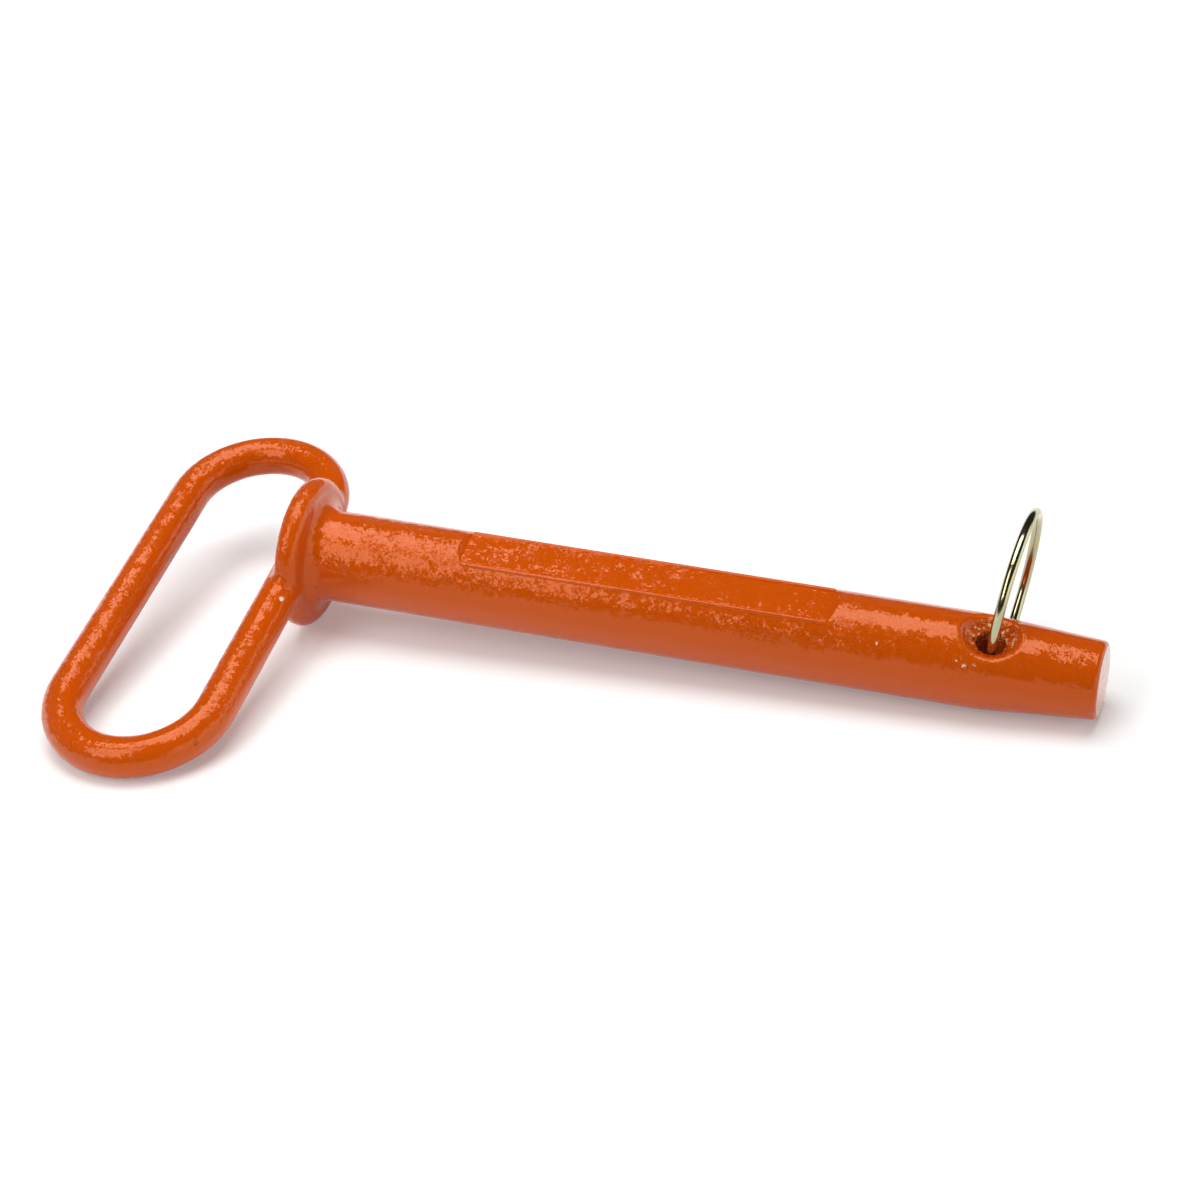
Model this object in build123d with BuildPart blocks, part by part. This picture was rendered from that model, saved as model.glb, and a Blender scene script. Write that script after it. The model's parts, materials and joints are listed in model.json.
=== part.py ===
"""Forged hitch pin with a loop handle and a swinging lock ring, lying at rest."""

from build123d import *
from math import asin, atan2, cos, degrees, radians, sin, sqrt, tan
import os

# Shaft, from the collar's front face to the tip
shaft_diameter = 25.4
shaft_length = 216.0
taper_length = 31.5
taper_blend = 60.0  # radius where the plain shaft runs into the taper
tip_diameter = 20.6
tip_rounding = 1.5
end_skew = 6.5  # degrees that the end is sheared out of square
shear_stock = 3.0  # length that the shear takes off
root_fillet = 4.5

# Collar that stops the shaft
collar_diameter = 42.0
collar_thickness = 6.7
collar_rounding = 3.2

# Loop handle of round bar, set off to one side of the shaft
bar_diameter = 10.9
handle_length = 133.0
handle_width = 53.4
handle_shift = 23.8
leg_setback = 5.1  # front leg's centre line behind the collar's front face
handle_tilt = 2.75  # degrees that the loop is bent up from the shaft's line
handle_blend = 4.2

# Marking panel pressed into the shaft between two beads, left bare
panel_start = 43.5
panel_length = 101.0
panel_width = 10.4
panel_depth = 1.5
panel_draft = 50.0
bead_diameter = 1.4
bead_gap = 0.3  # between the panel's edge and the bead
bead_height = 0.4  # how far a bead stands proud of the shaft

# Cross hole with a round dish at each mouth
hole_diameter = 7.6
hole_setback = 29.5  # from the tip to the hole's axis
hole_lean = 7.1  # degrees that the hole is drilled off the panel's normal
dish_radius = 8.4
dish_depth = 5.5
dish_blend = 1.8
mouth_blend = 0.5

# Lock ring of plated wire, standing on its edge behind the shaft
wire_diameter = 2.7
ring_diameter = 44.6  # to the wire's centre line
ring_gap = 0.3  # butt joint where the wire was closed through the hole
ring_turn = -5.9  # degrees about the vertical
ring_lean = 6.7  # degrees off the vertical, towards the tip
ring_slack = 1.95  # how far the wire crosses in front of the hole's centre
ring_side = 0.4  # how far the wire crosses towards the tip from it

shaft_radius = shaft_diameter / 2
tip_radius = tip_diameter / 2
stock_length = shaft_length + shear_stock
taper_start = shaft_length - taper_length
hole_station = shaft_length - hole_setback
taper_slope = (shaft_radius - tip_radius) / taper_length
collar_radius = collar_diameter / 2
bar_radius = bar_diameter / 2
wire_radius = wire_diameter / 2
ring_radius = ring_diameter / 2

# The handle's centre line: two straight legs joined by half circles
bend_radius = (handle_width - bar_diameter) / 2
half_leg = (handle_length - bar_diameter) / 2 - bend_radius
handle_x = -leg_setback - bend_radius

# At rest the collar's rim and the start of the taper touch the floor, so the
# shaft dips to the tip, and the pin rolls until the handle's long end is down.
rim_x = -collar_thickness / 2
dip = degrees(atan2(collar_radius - shaft_radius, taper_start - rim_x))
collar_height = collar_radius * cos(radians(dip)) + rim_x * sin(radians(dip))
handle_height = collar_height - handle_x * sin(radians(dip))
handle_reach = (half_leg + bend_radius + handle_shift) * cos(radians(dip))
roll = degrees(asin((handle_height - bar_radius) / handle_reach))
rest = Location((0, 0, collar_height), (0, dip, 0)) * Location((0, 0, 0), (roll, 0, 0))

# The pin is built with its shaft along X and its handle flat in the XY plane
with BuildPart() as forged_pin:
    # Shaft and collar, turned about X
    with BuildSketch(Plane.XY) as turned:
        with BuildLine():
            Polyline(
                (-collar_thickness, 0),
                (-collar_thickness, collar_radius),
                (0, collar_radius),
                (0, shaft_radius),
                (taper_start, shaft_radius),
                (stock_length, tip_radius - taper_slope * shear_stock),
                (stock_length, 0),
                close=True,
            )
        make_face()
        fillet(turned.vertices().group_by(Axis.Y)[-1], radius=collar_rounding)
        root = turned.vertices().sort_by_distance((0, shaft_radius))[0]
        fillet(root, radius=root_fillet)
        taper = turned.vertices().sort_by_distance((taper_start, shaft_radius))[0]
        fillet(taper, radius=taper_blend)
    revolve(axis=Axis.X)

    # The tip is sheared off a little out of square, its face turned up and to the near side
    skew = tan(radians(end_skew)) / sqrt(2)
    split(bisect_by=Plane(origin=(shaft_length, 0, 0), z_dir=(1, -skew, skew)), keep=Keep.BOTTOM)
    fillet(forged_pin.faces().sort_by(Axis.X)[-1].edges(), radius=tip_rounding)

    # Handle: a round bar carried round the loop and blended into the collar
    loop_plane = Plane(origin=(handle_x, -handle_shift, 0)).rotated((0, -handle_tilt, 0))
    with BuildLine(loop_plane) as loop:
        Line((bend_radius, -half_leg), (bend_radius, half_leg))
        CenterArc((0, half_leg), bend_radius, 0, 180)
        Line((-bend_radius, half_leg), (-bend_radius, -half_leg))
        CenterArc((0, -half_leg), bend_radius, 180, 180)
    with BuildSketch(Plane(origin=loop.line @ 0, z_dir=loop.line % 0)):
        Circle(bar_radius)
    sweep(path=loop.line)
    fillet(forged_pin.edges(Select.NEW), radius=handle_blend)

    # Marking panel with drafted walls, and a bead along each of its sides
    panel_middle = panel_start + panel_length / 2
    with BuildSketch(Plane.XY.offset(shaft_radius - panel_depth)):
        with Locations((panel_middle, 0)):
            Rectangle(panel_length, panel_width)
    extrude(amount=panel_depth + 1, taper=-panel_draft, mode=Mode.SUBTRACT)
    bead_y = panel_width / 2 + bead_gap + bead_diameter / 2
    bead_z = sqrt((shaft_radius + bead_height - bead_diameter / 2) ** 2 - bead_y**2)
    for side in (-1, 1):
        bead_middle = (panel_middle, side * bead_y)
        with BuildSketch(Plane.XY.offset(bead_z)):
            with Locations(bead_middle):
                SlotOverall(panel_length, bead_diameter)
                Rectangle(panel_length, bead_diameter, align=(Align.CENTER, Align.MAX), mode=Mode.SUBTRACT)
        revolve(axis=Axis((*bead_middle, bead_z), (1, 0, 0)))

    # Cross hole, with a round dish at each mouth
    drilled = Plane(origin=(hole_station, 0, 0)).rotated((hole_lean, 0, 0))
    dish_height = shaft_radius - dish_depth + dish_radius
    with Locations(drilled):
        Hole(hole_diameter / 2, depth=2 * shaft_diameter)
        with Locations((0, 0, -dish_height), (0, 0, dish_height)):
            Sphere(dish_radius, mode=Mode.SUBTRACT)
    rims = forged_pin.edges(Select.NEW)
    fillet(rims.filter_by(GeomType.CIRCLE), radius=mouth_blend)
    fillet(rims.filter_by(GeomType.BSPLINE), radius=dish_blend)

# The ring stands on its wire behind the shaft and crosses the hole's centre
hole_centre = (rest * Location((hole_station, 0, 0))).position
turn = radians(ring_turn)
lean = radians(ring_lean)
ring_normal = Vector(cos(turn) * cos(lean), sin(turn) * cos(lean), -sin(lean))
ring_height = wire_radius + ring_radius * cos(lean)
rise = ring_height - hole_centre.Z
away = sqrt((ring_radius - ring_slack) ** 2 - rise**2)
along = (ring_side - ring_normal.Y * away - ring_normal.Z * rise) / ring_normal.X
ring_centre = Vector(hole_centre.X + along, away, ring_height)

with BuildPart() as lock_ring:
    # The wire starts and ends low down behind the shaft
    butt = Plane(origin=ring_centre, x_dir=(0, 1, -2), z_dir=ring_normal)
    with BuildSketch(Plane(origin=ring_centre, x_dir=butt.x_dir, z_dir=butt.y_dir)):
        with Locations((ring_radius, 0)):
            Circle(wire_radius)
    revolve(axis=Axis(ring_centre, ring_normal), revolution_arc=360 - degrees(ring_gap / ring_radius))

# Both pieces go to their place of rest, centred over the origin
forged_pin.part.move(rest)
box = forged_pin.part.bounding_box().add(lock_ring.part.bounding_box())
to_origin = Location((-box.center().X, -box.center().Y, 0))
forged_pin.part.move(to_origin)
lock_ring.part.move(to_origin)

forged_pin.part.label = "forged_pin"
lock_ring.part.label = "lock_ring"
os.makedirs("parts", exist_ok=True)
export_step(forged_pin.part, "parts/forged_pin.step")
export_step(lock_ring.part, "parts/lock_ring.step")

# Where the mounts and the ring's hinge lie, for the record
placed = to_origin * rest
print("shaft", (placed * Location((0, 0, 0))).position, Plane(placed).x_dir)
print("hole", Plane(placed * drilled.location).origin, Plane(placed * drilled.location).z_dir)
print("ring", (to_origin * Location(ring_centre)).position, ring_normal)
print("box", box.size, "dip", dip, "roll", roll)
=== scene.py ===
import json
from math import cos, radians, sin

import bpy
from mathutils import Matrix, Vector


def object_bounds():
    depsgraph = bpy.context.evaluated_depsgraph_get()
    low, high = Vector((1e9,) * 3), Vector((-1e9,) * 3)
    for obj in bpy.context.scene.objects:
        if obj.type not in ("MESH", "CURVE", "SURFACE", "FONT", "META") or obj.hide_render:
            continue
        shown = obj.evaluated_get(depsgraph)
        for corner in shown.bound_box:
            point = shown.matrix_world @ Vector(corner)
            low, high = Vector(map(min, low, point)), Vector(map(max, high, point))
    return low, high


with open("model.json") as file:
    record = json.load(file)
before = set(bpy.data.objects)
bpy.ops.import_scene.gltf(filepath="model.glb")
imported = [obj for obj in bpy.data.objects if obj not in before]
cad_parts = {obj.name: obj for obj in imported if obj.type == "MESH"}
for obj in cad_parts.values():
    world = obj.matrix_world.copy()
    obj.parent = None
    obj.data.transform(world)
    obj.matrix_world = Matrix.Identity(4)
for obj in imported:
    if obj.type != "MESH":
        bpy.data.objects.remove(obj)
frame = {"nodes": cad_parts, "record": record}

cadBox = [list(corner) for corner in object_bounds()]
pinNode = frame["nodes"]["forged_pin"]
ringNode = frame["nodes"]["lock_ring"]
scene = bpy.context.scene
scene.view_settings.view_transform = "Standard"


# the pin's own directions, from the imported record
pinMount = next(m for m in frame["record"]["mounts"] if m["name"] == "shaft")
alongShaft = Vector(pinMount["axis"]).normalized()
shaftStart = Vector(pinMount["pos_m"])   # on the shaft's axis, 20 mm in front of the collar
swing = next(j for j in frame["record"]["behaviour"]["joints"] if j["name"] == "ring_swing")
holeMiddle = Vector(swing["pos_m"])
holeAxis = Vector(swing["axis"]).normalized()
print("pin axis", tuple(round(v, 4) for v in alongShaft))


# camera, on the handle's near side and a little above
cameraSetup = dict(azimuth=17.315, elevation=32.247, roll=-2.333, distance=0.60756,
                   aim=(-0.0031, 0.0307, 0.0120), lens=66.0, sensorWidth=36, clipStart=0.01)


def turnedAxes(azimuth, elevation, roll):
    # right, up and back of a view from azimuth and elevation, rolled about its line of sight
    a, e, r = radians(azimuth), radians(elevation), radians(roll)
    back = Vector((sin(a) * cos(e), -cos(a) * cos(e), sin(e)))
    level = Vector((cos(a), sin(a), 0))
    above = back.cross(level)
    right = level * cos(r) + above * sin(r)
    up = above * cos(r) - level * sin(r)
    return right, up, back


def makeCamera(setup):
    right, up, back = turnedAxes(setup["azimuth"], setup["elevation"], setup["roll"])
    data = bpy.data.cameras.new("camera")
    data.lens = setup["lens"]
    data.sensor_width = setup["sensorWidth"]
    data.clip_start = setup["clipStart"]
    cam = bpy.data.objects.new("camera", data)
    place = Vector(setup["aim"]) + back * setup["distance"]
    cam.matrix_world = Matrix.Translation(place) @ Matrix((right, up, back)).transposed().to_4x4()
    scene.collection.objects.link(cam)
    scene.camera = cam


makeCamera(cameraSetup)
print("camera placed")


class Wires:
    # adds nodes to a tree and joins them by socket name or number
    def __init__(self, tree):
        self.tree = tree

    def add(self, kind, inputs=None, **settings):
        node = self.tree.nodes.new(kind)
        for key, value in settings.items():
            setattr(node, key, value)
        for key, value in (inputs or {}).items():
            if isinstance(value, bpy.types.NodeSocket):
                self.tree.links.new(value, node.inputs[key])
            else:
                node.inputs[key].default_value = value
        return node

    def math(self, operation, a, b=0.0):
        return self.add("ShaderNodeMath", {0: a, 1: b}, operation=operation).outputs[0]

    def product(self, first, *others):
        for other in others:
            first = self.math("MULTIPLY", first, other)
        return first

    def vector(self, operation, *values, out="Vector"):
        return self.add("ShaderNodeVectorMath", dict(enumerate(values)), operation=operation).outputs[out]

    def span(self, value, ends, outStart=0.0, outEnd=1.0):
        # eases from outStart to outEnd while the value goes from one end to the other
        inputs = {0: value, 1: ends[0], 2: ends[1], 3: outStart, 4: outEnd}
        return self.add("ShaderNodeMapRange", inputs, interpolation_type="SMOOTHSTEP").outputs[0]

    def blendColour(self, share, a, b):
        return self.add("ShaderNodeMix", {0: share, 6: a, 7: b}, data_type="RGBA").outputs[2]

    def noise(self, where, size, detail, roughness=0.5):
        return self.add("ShaderNodeTexNoise", {"Vector": where, "Scale": 1 / size, "Detail": detail,
                                               "Roughness": roughness})

    def cells(self, where, size):
        return self.add("ShaderNodeTexVoronoi", {"Vector": where, "Scale": 1 / size})

    def firstChannel(self, colour):
        return self.add("ShaderNodeSeparateColor", {0: colour}).outputs[0]

    def wander(self, where, size, reach):
        # the place itself, pushed about by a noise of that size
        push = self.noise(where, size, detail=1.0).outputs["Color"]
        return self.vector("MULTIPLY_ADD", push, (reach,) * 3, where)


def nodeMaterial(name):
    mat = bpy.data.materials.new(name)
    mat.use_nodes = True
    tree = mat.node_tree
    tree.nodes.clear()
    return mat, Wires(tree)


# a pale floor that fades to white, a white sweep behind it, and two soft boxes
studio = dict(
    floorSize=6.0, floorColour=(0.855, 0.870, 0.868),
    lift=dict(near=0.21, far=1.0, reach=(0.20, 0.90)),   # the floor's own glow, by distance from the pin
    roomGlow=0.03,
    horizon=dict(glow=1.0, height=(0.06, 0.10)),   # the sweep ends a little above the horizon
    side=dict(glow=1.7, height=(0.35, 0.50), turn=(0.55, 0.80)),   # a bright wall beyond the tip
    boxes=dict(
        overhead=dict(place=(-0.135, 0.143, 1.005), size=(0.95, 0.76), power=9.8,
                      aim=(-0.135, 0.143, 0.0), turn=-12.0),
        front=dict(place=(-0.49, -0.622, 0.759), size=(0.58, 0.735), power=4.5,
                   aim=(-0.49, 0.023, 0.02), turn=0.0)))


def makeFloor(setup):
    half = setup["floorSize"] / 2
    corners = [(-half, -half, 0), (half, -half, 0), (half, half, 0), (-half, half, 0)]
    mesh = bpy.data.meshes.new("floor")
    mesh.from_pydata(corners, [], [(0, 1, 2, 3)])
    floor = bpy.data.objects.new("floor", mesh)
    scene.collection.objects.link(floor)
    # diffuse paper that takes the shadow, lifted towards white for whoever looks at it
    mat, w = nodeMaterial("paper")
    path = w.add("ShaderNodeLightPath")
    seen = w.math("MAXIMUM", path.outputs["Is Camera Ray"], path.outputs["Is Glossy Ray"])
    seen = w.math("MAXIMUM", seen, path.outputs["Is Transmission Ray"])
    paper = w.add("ShaderNodeBsdfDiffuse", {"Color": (*setup["floorColour"], 1)})
    where = w.add("ShaderNodeTexCoord").outputs["Object"]
    away = w.vector("LENGTH", where, out="Value")
    lift = setup["lift"]
    glow = w.span(away, lift["reach"], lift["near"], lift["far"])
    light = w.add("ShaderNodeEmission", {"Color": (1, 1, 1, 1), "Strength": w.product(seen, glow)})
    both = w.add("ShaderNodeAddShader", {0: paper.outputs[0], 1: light.outputs[0]})
    w.add("ShaderNodeOutputMaterial", {"Surface": both.outputs[0]})
    mesh.materials.append(mat)


def makeWorld(setup):
    # a white sweep up to a little above the horizon, a bright wall at one side, and a dim room over it
    world = bpy.data.worlds.new("studio")
    world.use_nodes = True
    world.node_tree.nodes.clear()
    scene.world = world
    w = Wires(world.node_tree)
    ray = w.add("ShaderNodeSeparateXYZ", {0: w.add("ShaderNodeTexCoord").outputs["Generated"]})
    rightward, height = ray.outputs[0], ray.outputs[2]
    horizon, side = setup["horizon"], setup["side"]
    sweep = w.span(height, horizon["height"], horizon["glow"], setup["roomGlow"])
    wall = w.product(w.span(rightward, side["turn"]), w.span(height, side["height"], side["glow"], 0.0))
    seen = w.add("ShaderNodeLightPath").outputs["Is Camera Ray"]
    glow = w.math("MAXIMUM", seen, w.math("MAXIMUM", sweep, wall))
    shade = w.add("ShaderNodeBackground", {"Color": (1, 1, 1, 1), "Strength": glow})
    w.add("ShaderNodeOutputWorld", {"Surface": shade.outputs[0]})


def makeSoftBox(name, place, size, power, aim, turn):
    # a flat lamp that faces its aim, turned about its own line of sight
    data = bpy.data.lights.new(name, "AREA")
    data.shape = "RECTANGLE"
    data.size, data.size_y = size
    data.energy = power
    lamp = bpy.data.objects.new(name, data)
    facing = (Vector(place) - Vector(aim)).to_track_quat("Z", "Y").to_matrix().to_4x4()
    lamp.matrix_world = Matrix.Translation(place) @ facing @ Matrix.Rotation(radians(turn), 4, "Z")
    scene.collection.objects.link(lamp)


makeFloor(studio)
makeWorld(studio)
for name, box in studio["boxes"].items():
    makeSoftBox(name, **box)
print("studio lit")


# orange enamel over the rough skin of a drop forging
enamel = dict(
    colour=(0.60, 0.080, 0.0005, 1), gloss=0.78, sheenTint=(1.0, 0.48, 0.28, 1),
    roughness=(0.03, 0.08), roughNoise=(0.3, 0.7),
    lumps=dict(size=0.0075, height=0.00030),   # hammer and die marks
    dots=dict(size=0.0040, height=0.00012, share=0.22, reach=(0.05, 0.13)),   # pits and pimples
    # torn scale under the paint: flakes of two sizes, and how far their outlines wander
    flakes=(dict(size=0.0017, tilt=0.20), dict(size=0.0008, tilt=0.30)), tear=0.0007,
    # a zone's share says how much of the flakes' tilt is left in it
    patches=dict(size=0.020, noise=(0.40, 0.56), share=0.45),   # smoother patches all over
    under=dict(facing=(0.10, 0.42), share=0.12),   # the paint ran smooth where it hung down
    far=dict(facing=(-0.16, 0.02), share=0.25),   # the side away from the handle's long end
    panel=dict(lean=7.1, halfWidth=0.0074, edge=0.0005, start=0.0225, end=0.1255, share=0.38),
    tip=dict(start=0.115, fade=0.025, share=0.50),   # from here on, counted from shaftStart
    handle=dict(behind=0.034, beside=0.023, share=0.62),   # behind shaftStart, or beside the shaft's axis
    dish=dict(rise=0.0100, reach=(0.0052, 0.0074), share=2.4),   # grit round the hole's upper mouth
    # painted highlights: pale specks on the dish's far wall
    dishGlints=dict(size=0.0010, share=0.60, reach=(0.25, 0.55), fade=0.003, colour=(0.95, 0.56, 0.27, 1)),
    # painted glints on the sheared end face: pale speckle that stands in for its reflection
    shearedEnd=dict(facing=(0.90, 0.97), depth=0.004, cover=0.74, thinnest=0.35,
                    speckleSize=1 / 1600, speckle=(0.34, 0.46), colour=(0.86, 0.50, 0.38, 1)),
    # small chips in the paint stand up, and one pit goes in
    chips=dict(colour=(0.92, 0.70, 0.50, 1), bare=(0.45, 0.70), ragSize=0.0006, rag=0.0014),
    marks=(dict(place=(0.0996, 0.0119, 0.0182), reach=0.0009, rise=0.00040),
           dict(place=(0.1021, 0.0122, 0.0186), reach=0.0006, rise=0.00025),
           dict(place=(0.0973, 0.0123, 0.0192), reach=0.0005, rise=0.00020),
           dict(place=(0.0768, 0.0129, 0.0210), reach=0.0006, rise=0.00025),
           dict(place=(-0.0832, -0.0020, 0.0212), reach=0.0012, rise=0.00040),
           dict(place=(-0.0866, -0.0537, 0.0090), reach=0.0009, rise=-0.00050)))


def flakeHeight(w, where, size, tear):
    # each cell of the surface is a small plane through its own middle, tilted its own way
    torn = w.wander(where, tear, tear)
    cells = w.cells(torn, size)
    fromMiddle = w.vector("SUBTRACT", torn, cells.outputs["Position"])
    way = w.vector("SUBTRACT", cells.outputs["Color"], (0.5, 0.5, 0.5))
    return w.vector("DOT_PRODUCT", fromMiddle, way, out="Value")


def flakeShare(w, look, where, facing, patches):
    # the shares of all zones, multiplied
    panel, tip, handle = look["panel"], look["tip"], look["handle"]
    fromStart = w.vector("SUBTRACT", where, shaftStart)
    panelUp = Matrix.Rotation(radians(-panel["lean"]), 3, alongShaft) @ holeAxis
    station, sideways, height = (w.vector("DOT_PRODUCT", fromStart, way, out="Value")
                                 for way in (alongShaft, alongShaft.cross(panelUp), panelUp))
    beside = w.math("ABSOLUTE", sideways)
    panelSide = (panel["halfWidth"], panel["halfWidth"] + panel["edge"])
    inPanel = w.product(w.span(beside, panelSide, 1.0, 0.0), w.math("GREATER_THAN", height, 0.0),
                        w.math("GREATER_THAN", station, panel["start"]),
                        w.math("LESS_THAN", station, panel["end"]))
    onHandle = w.math("MAXIMUM", w.math("LESS_THAN", station, -handle["behind"]),
                      w.math("GREATER_THAN", beside, handle["beside"]))
    return w.product(w.span(patches, look["patches"]["noise"], look["patches"]["share"], 1.0),
                     w.span(facing.outputs[2], look["under"]["facing"], look["under"]["share"], 1.0),
                     w.span(facing.outputs[1], look["far"]["facing"], 1.0, look["far"]["share"]),
                     w.span(inPanel, (0.0, 1.0), 1.0, panel["share"]),
                     w.span(station, (tip["start"], tip["start"] + tip["fade"]), 1.0, tip["share"]),
                     w.span(onHandle, (0.0, 1.0), 1.0, handle["share"]))


def markDistances(w, look, where):
    # how far each small mark is, with a ragged outline
    rag = look["chips"]["rag"]
    ragged = w.wander(where, look["chips"]["ragSize"], rag)
    middles = [tuple(v + rag / 2 for v in mark["place"]) for mark in look["marks"]]
    return [w.vector("DISTANCE", ragged, middle, out="Value") for middle in middles]


def skinNormal(w, look, where, share, offMarks):
    # bumps laid over each other: lumps, pits and pimples, both sizes of flakes, then the marks
    lumps, dots = look["lumps"], look["dots"]
    cells = w.cells(where, dots["size"])
    chance = w.firstChannel(cells.outputs["Color"])
    pimplesLessPits = w.math("SUBTRACT", w.math("GREATER_THAN", chance, 1 - dots["share"]),
                             w.math("LESS_THAN", chance, dots["share"]))
    dot = w.span(cells.outputs["Distance"], dots["reach"], 1.0, 0.0)
    reliefs = [(w.noise(where, lumps["size"], detail=1.0).outputs[0], lumps["height"]),
               (w.product(dot, pimplesLessPits), dots["height"])]
    for flakes in look["flakes"]:
        tilted = flakeHeight(w, where, flakes["size"], look["tear"])
        reliefs.append((w.product(tilted, share), flakes["tilt"]))
    for off, mark in zip(offMarks, look["marks"]):
        reliefs.append((w.span(off, (0.0, mark["reach"]), 1.0, 0.0), mark["rise"]))
    normal = None
    for height, distance in reliefs:
        inputs = {"Height": height, "Strength": 1.0, "Distance": abs(distance)}
        if normal:
            inputs["Normal"] = normal
        normal = w.add("ShaderNodeBump", inputs, invert=distance < 0).outputs[0]
    return normal


def paintColour(w, look, where, facing, inDish, dishMiddle, offMarks):
    place = w.add("ShaderNodeSeparateXYZ", {0: where})
    # bright dust on the sheared end
    # painted glints: pale speckle on the sheared end where it faces the bright side, standing in for its
    # reflection
    end = look["shearedEnd"]
    onEnd = w.product(w.span(facing.outputs[0], end["facing"]), end["cover"],
                      w.math("GREATER_THAN", place.outputs[0], cadBox[1][0] - end["depth"]))
    speckle = w.noise(where, end["speckleSize"], detail=2.0).outputs[0]
    endGlints = w.product(onEnd, w.span(speckle, end["speckle"], end["thinnest"], 1.0))
    painted = w.blendColour(endGlints, look["colour"], end["colour"])
    # painted highlights: pale specks on the dish's far wall, standing in for its speckled glints
    dishGlints = look["dishGlints"]
    cells = w.cells(w.wander(where, dishGlints["size"], dishGlints["size"]), dishGlints["size"])
    farWall = (dishMiddle.y - dishGlints["fade"], dishMiddle.y)
    onDishGlint = w.product(w.math("LESS_THAN", w.firstChannel(cells.outputs["Color"]), dishGlints["share"]),
                        w.span(cells.outputs["Distance"], dishGlints["reach"], 1.0, 0.0),
                        w.span(place.outputs[1], farWall), inDish)
    painted = w.blendColour(onDishGlint, painted, dishGlints["colour"])
    # chips lighter than the paint
    chips = look["chips"]
    chipped = 0.0
    for off, mark in zip(offMarks, look["marks"]):
        if mark["rise"] > 0:
            bare = tuple(mark["reach"] * part for part in chips["bare"])
            chipped = w.math("MAXIMUM", chipped, w.span(off, bare, 1.0, 0.0))
    return w.blendColour(chipped, painted, chips["colour"])


def enamelMaterial(look):
    mat, w = nodeMaterial("forgedEnamel")
    where = w.add("ShaderNodeTexCoord").outputs["Object"]
    facing = w.add("ShaderNodeSeparateXYZ", {0: w.add("ShaderNodeNewGeometry").outputs["Normal"]})
    patches = w.noise(where, look["patches"]["size"], detail=2.0, roughness=0.6).outputs[0]
    dish = look["dish"]
    dishMiddle = holeMiddle + holeAxis * dish["rise"]
    inDish = w.span(w.vector("DISTANCE", where, dishMiddle, out="Value"), dish["reach"], 1.0, 0.0)
    share = w.math("MAXIMUM", flakeShare(w, look, where, facing, patches), w.product(inDish, dish["share"]))
    offMarks = markDistances(w, look, where)
    shader = w.add("ShaderNodeBsdfPrincipled", {
        "Base Color": paintColour(w, look, where, facing, inDish, dishMiddle, offMarks),
        "Roughness": w.span(patches, look["roughNoise"], *look["roughness"]),
        "IOR": 1.5, "Specular IOR Level": look["gloss"], "Specular Tint": look["sheenTint"],
        "Normal": skinNormal(w, look, where, share, offMarks)})
    w.add("ShaderNodeOutputMaterial", {"Surface": shader.outputs[0]})
    return mat


# bright yellow plating on drawn steel wire, warmer in clouds, with a very fine grain
plating = dict(colour=(0.46, 0.45, 0.30, 1), warm=(0.50, 0.41, 0.22, 1), roughness=(0.09, 0.17),
               cloudSize=1 / 260, cloud=(0.35, 0.65), fineSize=1 / 2600, fine=(0.3, 0.7),
               fineHeight=0.000004)


def platingMaterial(look):
    mat, w = nodeMaterial("brightPlating")
    where = w.add("ShaderNodeTexCoord").outputs["Object"]
    cloud = w.noise(where, look["cloudSize"], detail=3.0).outputs[0]
    fine = w.noise(where, look["fineSize"], detail=2.0).outputs[0]
    bump = w.add("ShaderNodeBump", {"Height": fine, "Strength": 1.0, "Distance": look["fineHeight"]})
    shader = w.add("ShaderNodeBsdfPrincipled", {
        "Base Color": w.blendColour(w.span(cloud, look["cloud"]), look["colour"], look["warm"]),
        "Metallic": 1.0, "Roughness": w.span(fine, look["fine"], *look["roughness"]),
        "Normal": bump.outputs[0]})
    w.add("ShaderNodeOutputMaterial", {"Surface": shader.outputs[0]})
    return mat


def dress(node, mat):
    for slot in node.material_slots:
        slot.material = mat


dress(pinNode, enamelMaterial(enamel))
dress(ringNode, platingMaterial(plating))
print("finishes set")
